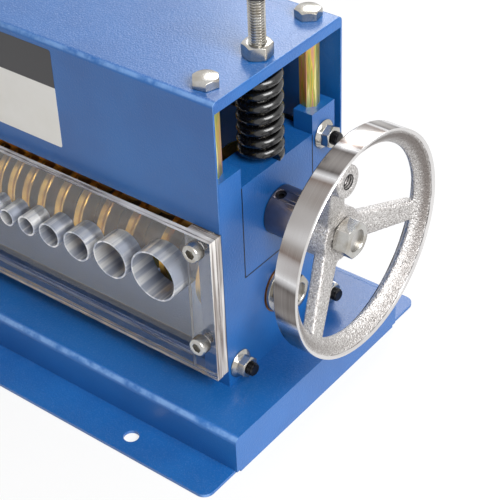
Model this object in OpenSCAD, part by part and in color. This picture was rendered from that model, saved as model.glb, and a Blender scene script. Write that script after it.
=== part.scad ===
// Bench cable stripper: two geared shafts between side plates, a sprung upper carriage,
// a clear front guard with graded feed tubes, a cast handwheel and a gear motor on a folded base.
// Millimetres. X runs along the shafts toward the handwheel, -Y is the feeding side, Z is up.
// The origin is the middle of the four base holes, on the underside of the base flanges.

/* [Base] */
// length of the base left of the body, for the drive
drive_room = 265; // [240:1:340]
// depth of the raised part of the base
base_depth = 200; // [170:1:260]
// height of the raised part of the base
base_height = 33; // [26:0.5:50]
// sheet thickness of the base
base_sheet = 2.5; // [1.5:0.1:4]
// outer radius of the long folds of the base
base_fold_r = 5; // [3.5:0.5:8]
// width of each bolting flange
flange_width = 32; // [24:0.5:45]
// corner radius of the bolting flanges
flange_corner_r = 8; // [4:0.5:12]
// how far the flanges stop short of the base ends
flange_setback = 2; // [0:0.5:10]
// diameter of the base holes
base_hole_d = 11.5; // [9:0.5:14]
// distance of the base holes from the base ends
base_hole_end = 84; // [30:1:140]
// distance of the base holes from the outer flange edges
base_hole_edge = 15.5; // [10:0.5:24]
// size of the relief notch at each lower base corner
corner_notch = 4; // [2:0.5:6]

/* [Side plates] */
// distance between the base end and the outer face of the right side plate
plate_inset = 37; // [20:0.5:60]
// distance over both side plates
body_length = 310; // [285:1:360]
// thickness of each side plate
plate_t = 16; // [12:0.5:22]
// front edge of the side plates
plate_front = -59.5; // [-70:0.5:-52]
// rear edge of the side plates
plate_rear = 70; // [60:0.5:80]
// height of the top of the side plate arms
arm_top = 207.5; // [200:0.5:216]
// width of the block slot
slot_width = 80; // [70:0.5:84]
// height of the slot floor
slot_floor = 117; // [112:0.5:122]

/* [Top] */
// thickness of the top plate
top_plate_t = 7; // [5:0.5:12]
// height of the underside of the top plate
top_plate_low = 260.5; // [250:0.5:275]
// sheet thickness of the cover
cover_sheet = 1.5; // [1:0.1:2.5]
// outer radius of the cover folds
cover_fold_r = 4; // [3:0.5:8]
// rear face of the cover
cover_rear = 79; // [74:0.5:95]
// height of the lower edge of the front panel of the cover
cover_low = 168.5; // [160:0.5:185]
// height of the lower edge of the rear panel of the cover
cover_rear_low = 104; // [98:0.5:120]
// width over flats of the hex columns
column_flats = 12.5; // [11:0.5:13]
// distance of the columns from the inner face of the side plates
column_edge = 4.5; // [4:0.5:6]
// front column position
column_front = -52; // [-52:0.5:-48]
// rear column position
column_rear = 56.5; // [54:0.5:60]
// thread diameter of the column studs
column_stud_d = 6; // [5:0.5:7]
// reach of the column studs into the side plate arms
column_stud_reach = 12; // [8:0.5:14]
// thread diameter of the top bolts
top_bolt_d = 10; // [8:1:10]
// width over flats of the top bolt heads
top_bolt_flats = 17; // [15:0.5:18]
// height of the top bolt heads
top_bolt_head = 6.5; // [5:0.5:8]
// distance of the top bolts from the cover ends
top_bolt_inset = 18; // [17:0.5:22]
// front top bolt position
top_bolt_front = -45; // [-46:0.5:-40]
// rear top bolt position
top_bolt_rear = 65; // [60:0.5:66]

/* [Shafts] */
// front to rear position of both shafts
shaft_y = 3.5; // [2:0.5:5]
// height of the lower shaft
lower_z = 84.5; // [82:0.5:87]
// distance between the two shafts at rest
shaft_gap = 68; // [67.5:0.1:68.5]
// diameter of both shafts
shaft_d = 24; // [20:0.5:28]
// diameter of the shaft ends
shaft_end_d = 16; // [12:0.5:18]
// radial running clearance of the turning pieces
running_gap = 0.05; // [0.02:0.01:0.1]
// side clearance between neighbouring moving faces
side_gap = 0.4; // [0.3:0.05:1]
// outer diameter of the upper bushes
upper_bush_d = 34; // [31:0.5:40]
// outer diameter of the lower bushes
lower_bush_d = 40; // [34:0.5:44]
// collar diameter of the lower bushes
lower_bush_collar_d = 48; // [45:0.5:54]
// collar thickness of the lower bushes
lower_bush_collar_t = 3; // [2:0.5:5]

/* [Channels] */
// number of feed channels
channels = 11; // [8:1:11]
// distance of the first channel from the outer face of the right plate
first_channel = 45; // [43:0.5:52]
// outer diameter of the widest feed tube
tube_widest = 39.6; // [34:0.2:41]
// outer diameter the tubes shrink toward
tube_least = 8; // [7:0.2:9]
// shrink factor from one tube to the next
tube_step = 0.722; // [0.68:0.002:0.74]
// distance of the last channel from the outer face of the left plate
last_channel = 42; // [36:0.5:60]
// wall of the feed tubes
tube_wall = 1.2; // [0.8:0.1:2]
// height that the axes of the feed tubes rise from
tube_low = 111.5; // [108:0.5:114]
// share of its radius by which the axis of a feed tube rises
tube_lift = 0.75; // [0.5:0.05:1]
// length of the feed tubes
tube_length = 20.5; // [18:0.5:28]
// how far the tubes stand out of the guard
tube_proud = 9; // [2:0.5:10]
// radius of the blade discs
blade_r = 35; // [32:0.1:35.4]
// thickness of the blade discs
blade_t = 3; // [2:0.2:5]
// depth of the blade edge bevel
blade_bevel = 3; // [1:0.2:5]
// radius of the feed rollers
roller_r = 32; // [28:0.1:32]
// width of the feed rollers
roller_w = 8; // [6:0.5:9]
// depth of the cable groove in the feed rollers
roller_groove = 1.5; // [0.5:0.1:3]
// radius of the spacing sleeves
sleeve_r = 17; // [14.5:0.5:20]

/* [Gears] */
// teeth of each gear
teeth = 22; // [20:2:24]
// tip radius of the gears
gear_tip_r = 37; // [36:0.1:37.4]
// root radius of the gears
gear_root_r = 28.5; // [26:0.1:29]
// face width of the gears
gear_w = 16; // [10:0.5:18]
// share of the tooth pitch filled by a tooth at its root
tooth_root_share = 0.52; // [0.4:0.01:0.54]
// share of the tooth pitch filled by a tooth at its tip
tooth_tip_share = 0.2; // [0.15:0.01:0.26]

/* [Carriage] */
// depth of the bearing blocks along the shaft
block_depth = 30; // [26:0.5:36]
// height of the bearing blocks
block_height = 75; // [70:0.5:80]
// clearance of the blocks in the slot
block_gap = 0.3; // [0.2:0.05:0.6]
// how far the inner block shoulder reaches past the slot
block_shoulder = 6; // [3:0.5:9]
// diameter of the adjusting screws
screw_d = 12; // [10:0.5:14]
// length of the adjusting screws
screw_length = 146; // [136:1:170]
// depth of the screw seat in the blocks
screw_seat = 18; // [12:0.5:20]
// distance of the screws from the outer face of the side plates
screw_inset = 14; // [13:0.5:15]
// width over flats of the socket in the screw tops
screw_socket = 6.5; // [5:0.5:7]
// width over flats of the adjusting nuts
screw_nut_flats = 19; // [17:0.5:22]
// height of the adjusting nuts
screw_nut_h = 10; // [8:0.5:14]

/* [Springs] */
// outer diameter of the springs
spring_d = 33; // [29:0.5:34]
// wire diameter of the springs
spring_wire = 7; // [5:0.1:7.2]
// number of curls of the springs
spring_curls = 7; // [6:0.5:7]

/* [Guard] */
// thickness of the clear guard
guard_t = 6; // [4:0.5:8]
// thickness of the spacing strips behind the guard
guard_strip_t = 6.5; // [4:0.5:9]
// lower edge of the guard
guard_low = 47.5; // [44:0.5:52]
// space between the guard and the cover panel
guard_top_gap = 1; // [0.5:0.1:3]
// thread diameter of the guard screws
guard_screw_d = 8; // [6:0.5:8]
// head diameter of the guard screws
guard_head_d = 14; // [11:0.5:15]
// head height of the guard screws
guard_head_h = 8; // [6:0.5:10]
// distance of the upper guard screws from the upper guard edge
guard_screw_top = 8.5; // [8:0.5:26]
// distance of the lower guard screws from the lower guard edge
guard_screw_low = 30.5; // [14:0.5:40]
// reach of the guard screws into the side plates
guard_screw_reach = 14; // [10:0.5:18]
// distance of the guard screws from the outer face of the side plates
guard_screw_inset = 11; // [10:0.25:11]

/* [Tie rods] */
// diameter of the tie rods
tie_d = 10; // [8:0.5:12]
// height of the lower tie rods
tie_low_z = 47; // [46:0.5:49]
// height of the upper tie rod
tie_high_z = 186; // [180:0.5:192]
// front tie rod position
tie_front = -47; // [-48.5:0.5:-44]
// rear tie rod position
tie_rear = 56.5; // [55:0.5:58]
// how far the tie rods stand out of the side plates
tie_proud = 14; // [12:0.5:18]
// flange diameter of the tie rod nuts
tie_flange_d = 21.8; // [18:0.2:22]
// flange thickness of the tie rod nuts
tie_flange_t = 2.4; // [1.5:0.1:3]
// width over flats of the tie rod nuts
tie_nut_flats = 15; // [13:0.5:16]
// total height of the tie rod nuts
tie_nut_h = 9.5; // [8:0.5:11]

/* [Handwheel] */
// diameter of the handwheel
wheel_d = 164; // [150:1:170]
// width of the handwheel rim
rim_w = 19; // [17:0.5:22]
// radial thickness of the handwheel rim
rim_t = 12.5; // [10:0.5:14]
// rounding of the outer rim edges
rim_round = 1; // [0.5:0.25:2]
// distance from the right plate to the inner side of the rim
rim_inset = 56.5; // [54:0.5:60]
// diameter of the wheel hub
hub_d = 40; // [34:0.5:46]
// length of the wheel hub
hub_length = 28; // [24:0.5:30]
// width of the spokes at the hub
spoke_hub_w = 20; // [16:0.5:24]
// width of the spokes at the rim
spoke_rim_w = 15; // [12:0.5:18]
// thickness of the spokes
spoke_t = 10; // [8:0.5:12]
// direction of the first spoke
spoke_turn = -12; // [-40:1:40]
// diameter of the handle boss
boss_d = 23; // [18:0.5:24]
// radius of the handle boss circle
boss_r = 59.5; // [56:0.5:61]
// how far the handle boss is turned back from its spoke
boss_turn = 3; // [0:1:8]
// height of the handle boss face over the inner side of the rim
boss_top = 12.5; // [11:0.5:15]
// diameter of the handle hole
boss_hole_d = 10; // [8:0.5:11]
// depth of the handle hole
boss_hole_depth = 12; // [8:0.5:14]
// diameter of the shaft collar
collar_d = 36; // [32:0.5:40]
// length of the shaft collar
collar_length = 25; // [22:0.5:28]
// diameter of the set screw
set_screw_d = 8; // [6:0.5:9]
// distance of the set screw from the inner collar face
set_screw_inset = 5.5; // [5:0.5:12]
// direction of the set screw hole
set_screw_turn = 106; // [90:1:140]
// width over flats of the shaft end nuts
end_nut_flats = 24; // [20:0.5:27]
// height of the shaft end nuts
end_nut_h = 12.5; // [10:0.5:16]
// how far the shaft ends stay inside the nuts
end_nut_recess = 3; // [1:0.5:5]
// diameter of the lower end washer
end_washer_d = 38; // [30:0.5:44]
// thickness of the lower end washer
end_washer_t = 3; // [2:0.5:5]

/* [Drive] */
// space between the left plate and the gears
gear_offset = 4; // [3:0.5:8]
// inside length of the gear cover
gear_room = 40; // [32:0.5:50]
// sheet thickness of the gear cover
gear_cover_sheet = 2; // [1.5:0.1:3]
// inner radius of the gear cover over the gear tips
gear_cover_gap = 8; // [6:0.5:12]
// height of the upper round of the gear cover over the upper shaft
gear_cover_rise = 8; // [6:0.5:12]
// diameter of the gear cover ears
ear_d = 20; // [16:0.5:22]
// thickness of the gear cover ears
ear_t = 4; // [3:0.5:6]
// distance of the ear holes from the inside of the gear cover
ear_reach = 8; // [7.5:0.5:10]
// height of the ears over the lower shaft
ear_rise = 16; // [0:0.5:40]
// thread diameter of the gear cover screws
ear_screw_d = 6; // [5:0.5:8]
// head diameter of the gear cover screws
ear_head_d = 10; // [8.5:0.5:12]
// head height of the gear cover screws
ear_head_h = 5; // [4:0.5:8]
// diameter of the shaft coupling
coupling_d = 44; // [34:0.5:50]
// length of the shaft coupling
coupling_length = 34; // [26:0.5:44]
// space between the shaft coupling and its neighbours
coupling_gap = 2; // [1:0.5:5]
// side of the square gearbox
gearbox_side = 90; // [80:1:98]
// length of the gearbox
gearbox_length = 58; // [40:0.5:64]
// diameter of the gearbox pilot
pilot_d = 36; // [32:0.5:44]
// length of the gearbox pilot
pilot_length = 4; // [3:0.5:6]
// diameter of the motor body
motor_d = 88; // [76:1:92]
// space between the fan cover and the base end
drive_margin = 13; // [8:0.5:30]
// depth of the cooling grooves
fin_depth = 5; // [3:0.5:8]
// number of cooling grooves
fins = 9; // [5:1:11]
// length of the fan cover
fan_length = 22; // [16:0.5:26]
// diameter of the air holes in the fan cover
fan_hole_d = 7; // [4:0.5:9]
// width of the gearbox foot
foot_width = 124; // [110:1:140]
// thread diameter of the foot bolts
foot_bolt_d = 8; // [6:0.5:10]
// width over flats of the foot bolts
foot_bolt_flats = 13; // [10:0.5:14]
// head height of the foot bolts
foot_bolt_head = 5.5; // [4:0.5:7]
// distance of the foot bolts from the gearbox ends
foot_bolt_end = 12; // [9:0.5:16]
// distance of the foot bolts from the foot edges
foot_bolt_edge = 8; // [7:0.5:9]

/* [Switch] */
// length of the switch box
box_length = 96; // [90:1:100]
// depth of the switch box
box_depth = 33; // [26:0.5:34]
// height of the switch box
box_height = 62; // [50:1:80]
// distance of the switch box from the left base end
box_inset = 27; // [22:0.5:30]
// length of the rocker opening
rocker_length = 30; // [22:0.5:34]
// width of the rocker opening
rocker_width = 22; // [16:0.5:24]
// tilt of the rocker
rocker_tilt = 10; // [6:0.5:12]
// depth of the rocker pin under the box top
rocker_sink = 6; // [5:0.5:7]
// height of the rocker face over its pin
rocker_rise = 7.5; // [7:0.5:9]
// clearance of the rocker in its opening
rocker_gap = 0.6; // [0.4:0.1:1]
// diameter of the stop button
button_d = 24; // [20:0.5:30]
// thickness of the stop button
button_t = 9; // [6:0.5:12]
// travel of the stop button
button_travel = 4; // [2:0.5:5]
// depth of the openings in the switch box
pocket_depth = 20; // [18:0.5:24]
// width over flats of the cable gland
gland_d = 18; // [14:0.5:22]
// bore of the cable gland
gland_bore_d = 8; // [6:0.5:10]
// length of the gland nut
gland_nut_t = 6; // [5:0.5:8]
// length of the gland nose
gland_nose = 12; // [8:0.5:14]
// height of the cable gland over the base
gland_rise = 20; // [14:0.5:30]

/* [Hidden] */
$fn = 64;
bend = 48;
base_length = plate_inset + body_length + drive_room;
base_hole_x = base_length / 2 - base_hole_end;
base_hole_y = base_depth / 2 + flange_width - base_hole_edge;
body_right = base_length / 2 - plate_inset;
body_left = body_right - body_length;
upper_z = lower_z + shaft_gap;
cover_front = plate_front - cover_sheet;
cover_top = top_plate_low + top_plate_t + cover_sheet;
block_low = slot_floor + block_gap;
block_top = block_low + block_height;
screw_low = block_top - screw_seat;
screw_hole_d = screw_d + 1.2;
guard_back = plate_front - guard_strip_t;
guard_front = guard_back - guard_t;
guard_top = cover_low - guard_top_gap;
guard_strip_w = first_channel - tube_widest / 2 - 0.7;
guard_screw_heights = [guard_low + guard_screw_low, guard_top - guard_screw_top];
rod_spots = [[tie_front, tie_low_z], [tie_rear, tie_low_z], [tie_rear, tie_high_z]];
tube_ends = [guard_front - tube_proud, guard_front - tube_proud + tube_length];
rim_x = body_right + rim_inset;
collar_x = body_right + side_gap;
hub_x = collar_x + collar_length;
hub_end = hub_x + hub_length;
gear_x = body_left - side_gap - gear_offset - gear_w;
cover_x = body_left - gear_room;
coupling_x = cover_x - gear_cover_sheet - coupling_gap - coupling_length;
lower_left = coupling_x + coupling_length / 2;
gearbox_right = coupling_x - coupling_gap - pilot_length;
gearbox_left = gearbox_right - gearbox_length;
motor_left = -base_length / 2 + drive_margin + fan_length;
motor_length = gearbox_left - motor_left;
foot_top = lower_z - gearbox_side / 2;
box_front = -base_depth / 2 + base_fold_r + 1;
box_x = -base_length / 2 + box_inset;
rocker_x = box_x + box_length * 0.32;
button_x = box_x + box_length * 0.74;
box_mid_y = box_front + box_depth / 2;
box_top = base_height + box_height;
button_stem_d = button_d * 0.6;

// outer diameter of feed tube number i
function tube_d(i) = tube_least + (tube_widest - tube_least) * pow(tube_step, i);
// room that the tubes themselves take between the middle of tube 0 and the middle of tube i
function tube_run(i) = i == 0 ? 0 : tube_run(i - 1) + (tube_d(i - 1) + tube_d(i)) / 2;
tube_space = (body_length - first_channel - last_channel - tube_run(channels - 1)) / (channels - 1);
// position of channel i along the shafts
function tube_z(i) = tube_low + tube_lift * tube_d(i) / 2;
function channel_x(i) = body_right - first_channel - tube_run(i) - i * tube_space;

// rod lying along the shafts from x0 to x1
module bar_x(x0, x1, y, z, d, sides = $fn) {
    translate([x0, y, z])
        rotate([0, 90, 0])
            cylinder(d = d, h = x1 - x0, $fn = sides);
}

// upright rod from z0 to z1
module bar_z(x, y, z0, z1, d, sides = $fn) {
    translate([x, y, z0])
        cylinder(d = d, h = z1 - z0, $fn = sides);
}

// rod lying from front y0 to rear y1
module bar_y(x, y0, y1, z, d, sides = $fn) {
    translate([x, y1, z])
        rotate([90, 0, 0])
            cylinder(d = d, h = y1 - y0, $fn = sides);
}

// box between two opposite corners
module box(a, b) {
    translate(a)
        cube(b - a);
}

// circle diameter around a hexagon measured over its flats
function across(flats) = flats / cos(30);

// channel section along X with its two upper edges rounded
module rounded_top(x0, x1, y0, y1, z0, z1, r) {
    box([x0, y0, z0], [x1, y1, z1 - r]);
    box([x0, y0 + r, z0], [x1, y1 - r, z1]);
    bar_x(x0, x1, y0 + r, z1 - r, 2 * r, bend);
    bar_x(x0, x1, y1 - r, z1 - r, 2 * r, bend);
}

// one bolting flange; side is -1 in front and 1 behind
module flange(side) {
    half = base_length / 2 - flange_setback;
    edge = base_depth / 2 + flange_width;
    r = flange_corner_r;
    mirror([0, side < 0 ? 1 : 0, 0]) {
        box([-half, base_depth / 2 - base_sheet, 0], [half, edge - r, base_sheet]);
        box([-half + r, edge - r, 0], [half - r, edge, base_sheet]);
        for (end = [-1, 1])
            bar_z(end * (half - r), edge - r, 0, base_sheet, 2 * r, bend);
    }
}

module base() {
    half = base_length / 2;
    deep = base_depth / 2;
    color("royalblue")
        difference() {
            union() {
                difference() {
                    rounded_top(-half, half, -deep, deep, 0, base_height, base_fold_r);
                    rounded_top(-half + base_sheet, half - base_sheet, -deep + base_sheet, deep - base_sheet,
                        -1, base_height - base_sheet, base_fold_r - base_sheet);
                }
                flange(-1);
                flange(1);
            }
            for (sx = [-1, 1])
                for (sy = [-1, 1]) {
                    bar_z(sx * base_hole_x, sy * base_hole_y, -1, base_sheet + 1, base_hole_d);
                    translate([sx * half, sy * deep, 0])
                        cube([corner_notch, 2 * corner_notch, corner_notch], center = true);
                }
        }
}

// side plate whose outer face looks along dir from x_out
module side_plate(x_out, dir) {
    x0 = min(x_out, x_out - dir * plate_t);
    x1 = x0 + plate_t;
    x_screw = x_out - dir * guard_screw_inset;
    difference() {
        box([x0, plate_front, base_height], [x1, plate_rear, arm_top]);
        box([x0 - 1, shaft_y - slot_width / 2, slot_floor], [x1 + 1, shaft_y + slot_width / 2, arm_top + 1]);
        bar_x(x0 - 1, x1 + 1, shaft_y, lower_z, lower_bush_d);
        for (p = rod_spots)
            bar_x(x0 - 1, x1 + 1, p[0], p[1], tie_d);
        for (z = guard_screw_heights)
            bar_y(x_screw, plate_front - 1, plate_front + guard_screw_reach, z, guard_screw_d);
        at_columns()
            bar_z(0, 0, arm_top - column_stud_reach, arm_top + 1, column_stud_d);
    }
}

module right_side_plate() {
    color("royalblue")
        side_plate(body_right, 1);
}

module left_side_plate() {
    color("royalblue")
        side_plate(body_left, -1);
}

// places the children at the four columns
module at_columns() {
    inset = plate_t - column_edge;
    for (x = [body_left + inset, body_right - inset])
        for (y = [column_front, column_rear])
            translate([x, y, 0])
                children();
}

// places the children at the four top bolts
module at_top_bolts() {
    for (x = [body_left + top_bolt_inset, body_right - top_bolt_inset])
        for (y = [top_bolt_front, top_bolt_rear])
            translate([x, y, 0])
                children();
}

// places the children at the two adjusting screws
module at_screws() {
    for (x = [body_left + screw_inset, body_right - screw_inset])
        translate([x, shaft_y, 0])
            children();
}

// space inside the folded cover from x0 to x1
module cover_hollow(x0, x1) {
    s = cover_sheet;
    low = cover_rear_low - 1;
    rounded_top(x0, x1, cover_front + s, cover_rear - s, low, cover_top - s, cover_fold_r - s);
}

module top_plate() {
    color("royalblue")
        difference() {
            intersection() {
                cover_hollow(body_left, body_right);
                box([body_left, cover_front, top_plate_low], [body_right, cover_rear, cover_top]);
            }
            at_columns()
                bar_z(0, 0, top_plate_low - 1, cover_top, column_stud_d);
            at_top_bolts()
                bar_z(0, 0, top_plate_low - 1, cover_top, top_bolt_d);
            at_screws()
                bar_z(0, 0, top_plate_low - 1, cover_top, screw_hole_d);
        }
}

module top_cover() {
    color("royalblue")
        difference() {
            rounded_top(body_left, body_right, cover_front, cover_rear, cover_rear_low, cover_top,
                cover_fold_r);
            cover_hollow(body_left - 1, body_right + 1);
            box([body_left - 1, cover_front - 1, cover_rear_low - 1], [body_right + 1, shaft_y, cover_low]);
            at_top_bolts()
                bar_z(0, 0, top_plate_low, cover_top + 1, top_bolt_d);
            at_screws()
                bar_z(0, 0, top_plate_low, cover_top + 1, screw_hole_d);
        }
}

module hex_columns() {
    color("gold")
        at_columns() {
            rotate([0, 0, -13])
                bar_z(0, 0, arm_top, top_plate_low, across(column_flats), 6);
            bar_z(0, 0, arm_top - column_stud_reach, top_plate_low + top_plate_t, column_stud_d);
        }
}

module top_bolts() {
    color("silver")
        at_top_bolts() {
            rotate([0, 0, 10])
                bar_z(0, 0, cover_top, cover_top + top_bolt_head, across(top_bolt_flats), 6);
            bar_z(0, 0, top_plate_low, cover_top + 1, top_bolt_d);
        }
}

// one lower bush with its collar against the inner plate face
module lower_bush(x0, x_collar) {
    difference() {
        union() {
            bar_x(x0, x0 + plate_t, shaft_y, lower_z, lower_bush_d);
            bar_x(x_collar, x_collar + lower_bush_collar_t, shaft_y, lower_z, lower_bush_collar_d);
        }
        bar_x(x0 - plate_t, x0 + 2 * plate_t, shaft_y, lower_z, shaft_d + 2 * running_gap);
    }
}

module lower_bushes() {
    color("peru") {
        lower_bush(body_right - plate_t, body_right - plate_t - lower_bush_collar_t);
        lower_bush(body_left, body_left + plate_t);
    }
}

module tie_rods() {
    color("black")
        for (p = rod_spots)
            bar_x(body_left - tie_proud, body_right + tie_proud, p[0], p[1], tie_d);
}

// flange nut on a tie rod; the flange sits on the plate face at x and the hexagon stands along dir
module flange_nut(x, dir, p) {
    translate([x, p[0], p[1]])
        rotate([0, 90 * dir, 0])
            difference() {
                union() {
                    cylinder(d = tie_flange_d, h = tie_flange_t);
                    cylinder(d = across(tie_nut_flats), h = tie_nut_h, $fn = 6);
                }
                translate([0, 0, -1])
                    cylinder(d = tie_d, h = tie_nut_h + 2);
            }
}

module flange_nuts() {
    color("silver")
        for (p = rod_spots) {
            flange_nut(body_right, 1, p);
            flange_nut(body_left, -1, p);
        }
}

// places the children at the four guard screws, on the front face of the guard
module at_guard_screws() {
    for (x = [body_left + guard_screw_inset, body_right - guard_screw_inset])
        for (z = guard_screw_heights)
            translate([x, guard_front, z])
                children();
}

module clear_guard() {
    color("lightblue", 0.4)
        difference() {
            box([body_left, guard_front, guard_low], [body_right, guard_back, guard_top]);
            at_guard_screws()
                bar_y(0, -1, guard_t + 1, 0, guard_screw_d);
            for (i = [0 : channels - 1])
                bar_y(channel_x(i), guard_front - 1, guard_back + 1, tube_z(i), tube_d(i));
        }
}

module guard_strips() {
    color("lightcyan", 0.5)
        difference() {
            union() {
                box([body_right - guard_strip_w, guard_back, guard_low],
                    [body_right, plate_front, guard_top]);
                box([body_left, guard_back, guard_low],
                    [body_left + guard_strip_w, plate_front, guard_top]);
            }
            at_guard_screws()
                bar_y(0, -1, guard_t + guard_strip_t + 1, 0, guard_screw_d);
        }
}

module guard_screws() {
    color("silver")
        at_guard_screws()
            difference() {
                union() {
                    bar_y(0, -guard_head_h, 0, 0, guard_head_d);
                    bar_y(0, -1, guard_t + guard_strip_t + guard_screw_reach, 0, guard_screw_d);
                }
                bar_y(0, -guard_head_h - 1, -guard_head_h / 2, 0, guard_screw_d * 0.86, 6);
            }
}

module feed_tube(i) {
    if (i < channels)
        color("gainsboro")
            difference() {
                bar_y(channel_x(i), tube_ends[0], tube_ends[1], tube_z(i), tube_d(i));
                bar_y(channel_x(i), tube_ends[0] - 1, tube_ends[1] + 1, tube_z(i),
                    tube_d(i) - 2 * tube_wall);
            }
}

module adjusting_nuts() {
    color("silver")
        at_screws()
            difference() {
                rotate([0, 0, 8])
                    bar_z(0, 0, cover_top, cover_top + screw_nut_h, across(screw_nut_flats), 6);
                bar_z(0, 0, cover_top - 1, cover_top + screw_nut_h + 1, screw_d + 2 * running_gap);
            }
}

// coil as one tube swept round a helix, eight rings to a curl and six sides
spring_rings = round(spring_curls * 8);
spring_r = (spring_d - spring_wire) / 2;
spring_low = block_top + spring_wire / 2;
spring_rise = top_plate_low - block_top - spring_wire;
function coil_mid(k) =
    [spring_r * cos(45 * k), spring_r * sin(45 * k), spring_low + spring_rise * k / spring_rings];
function coil_ring(k) = [for (s = [0 : 5])
    coil_mid(k) + spring_wire / 2 * cos(60 * s + 30) * [cos(45 * k), sin(45 * k), 0]
        + [0, 0, spring_wire / 2 * sin(60 * s + 30)]];
coil_points = [for (k = [0 : spring_rings]) for (p = coil_ring(k)) p];
coil_sides = [for (k = [0 : spring_rings - 1]) for (s = [0 : 5]) for (half = [0, 1])
    let (a = 6 * k + s, b = 6 * k + (s + 1) % 6)
    half == 0 ? [a, b, a + 6] : [b, b + 6, a + 6]];
coil_first = [for (s = [1 : 4]) [0, s + 1, s]];
coil_last = [for (s = [1 : 4]) [6 * spring_rings, 6 * spring_rings + s, 6 * spring_rings + s + 1]];
coil_gap = min([for (k = [0 : spring_rings - 8]) for (a = coil_ring(k)) for (b = coil_ring(k + 8))
    norm(a - b)]);
echo(least_gap_between_curls = coil_gap);

module spring_at(x) {
    color("black")
        translate([x, shaft_y, 0])
            polyhedron(points = coil_points, faces = concat(coil_first, coil_sides, coil_last));
}

module right_spring() {
    spring_at(body_right - screw_inset);
}

module left_spring() {
    spring_at(body_left + screw_inset);
}

// bearing block with its outer face flush at x_out and a wider shoulder behind the plate
module bearing_block(x_out, dir) {
    x_in = x_out - dir * block_depth;
    x_step = x_out - dir * (plate_t + block_gap);
    x0 = min(x_out, x_in);
    x1 = max(x_out, x_in);
    half = slot_width / 2 - block_gap;
    wide = slot_width / 2 + block_shoulder;
    difference() {
        union() {
            box([x0, shaft_y - half, block_low], [x1, shaft_y + half, block_top]);
            box([min(x_step, x_in), shaft_y - wide, block_low],
                [max(x_step, x_in), shaft_y + wide, block_top]);
        }
        bar_x(x0 - 1, x1 + 1, shaft_y, upper_z, upper_bush_d);
        bar_z(x_out - dir * screw_inset, shaft_y, screw_low, block_top + 1, screw_d + 2 * running_gap);
    }
}

module right_bearing_block() {
    color("royalblue")
        bearing_block(body_right, 1);
}

module left_bearing_block() {
    color("royalblue")
        bearing_block(body_left, -1);
}

module upper_bushes() {
    color("peru")
        for (x = [body_left, body_right - block_depth])
            difference() {
                bar_x(x, x + block_depth, shaft_y, upper_z, upper_bush_d);
                bar_x(x - 1, x + block_depth + 1, shaft_y, upper_z, shaft_d + 2 * running_gap);
            }
}

module adjusting_screw(x) {
    color("silver")
        difference() {
            bar_z(x, shaft_y, screw_low + running_gap, screw_low + screw_length, screw_d);
            bar_z(x, shaft_y, screw_low + screw_length - screw_d * 0.6, screw_low + screw_length + 1,
                across(screw_socket), 6);
        }
}

module right_adjusting_screw() {
    adjusting_screw(body_right - screw_inset);
}

module left_adjusting_screw() {
    adjusting_screw(body_left + screw_inset);
}

module upper_shaft() {
    color("gray") {
        bar_x(gear_x - gear_offset, hub_x, shaft_y, upper_z, shaft_d);
        bar_x(hub_x - collar_length, hub_end + end_nut_h - end_nut_recess, shaft_y, upper_z, shaft_end_d);
    }
}

// disc with both edges bevelled, turned about X and centred at x
module bevelled_disc(x, z, r, t, bevel) {
    translate([x, shaft_y, z])
        rotate([0, 90, 0])
            rotate_extrude($fn = 96)
                polygon([[shaft_d / 2, -t / 2], [r - bevel, -t / 2], [r, -t / 8], [r, t / 8],
                    [r - bevel, t / 2], [shaft_d / 2, t / 2]]);
}

module blade_discs() {
    color("goldenrod")
        for (i = [0 : channels - 1])
            bevelled_disc(channel_x(i), upper_z, blade_r, blade_t, blade_bevel);
}

// sleeves that fill the shaft between pieces of width w and the bearings at both ends
module sleeves(z, w, x_low, x_high) {
    for (i = [0 : channels]) {
        x0 = i == channels ? x_low : channel_x(i) + w / 2;
        x1 = i == 0 ? x_high : channel_x(i - 1) - w / 2;
        difference() {
            bar_x(x0, x1, shaft_y, z, 2 * sleeve_r);
            bar_x(x0 - 1, x1 + 1, shaft_y, z, shaft_d);
        }
    }
}

module blade_sleeves() {
    color("dimgray")
        sleeves(upper_z, blade_t, body_left + block_depth + side_gap, body_right - block_depth - side_gap);
}

// spur gear from x0 to x1 with the first tooth turned by turn
module gear(x0, z, turn) {
    pitch = 360 / teeth;
    wr = pitch * tooth_root_share / 2;
    wt = pitch * tooth_tip_share / 2;
    tooth = [[-wr, gear_root_r], [-wt, gear_tip_r], [wt, gear_tip_r], [wr, gear_root_r]];
    translate([x0, shaft_y, z])
        rotate([90, 0, 90])
            difference() {
                linear_extrude(height = gear_w)
                    polygon([for (i = [0 : teeth - 1]) for (c = tooth)
                        let (a = 90 + turn + pitch * i + c[0])
                        c[1] * [cos(a), sin(a)]]);
                translate([0, 0, -1])
                    cylinder(d = shaft_d, h = gear_w + 2);
            }
}

module upper_gear() {
    color("slategray")
        gear(gear_x, upper_z, 180 + 180 / teeth);
}

module lower_gear() {
    color("slategray")
        gear(gear_x, lower_z, 0);
}

// direction of the set screw hole, as a rod pointing out of the collar
module set_hole(r0, r1, d, sides = $fn) {
    translate([collar_x + set_screw_inset, shaft_y, upper_z])
        rotate([set_screw_turn - 90, 0, 0])
            translate([0, 0, r0])
                cylinder(d = d, h = r1 - r0, $fn = sides);
}

module shaft_collar() {
    color("dimgray")
        difference() {
            bar_x(collar_x, hub_x, shaft_y, upper_z, collar_d);
            bar_x(collar_x - 1, hub_x + 1, shaft_y, upper_z, shaft_d);
            set_hole(0, collar_d, set_screw_d);
        }
}

module set_screw() {
    color("black")
        difference() {
            set_hole(shaft_d / 2 + 0.2, collar_d / 2 - 1.5, set_screw_d);
            set_hole(collar_d / 2 - 4, collar_d / 2, set_screw_d * 0.58, 6);
        }
}

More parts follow.
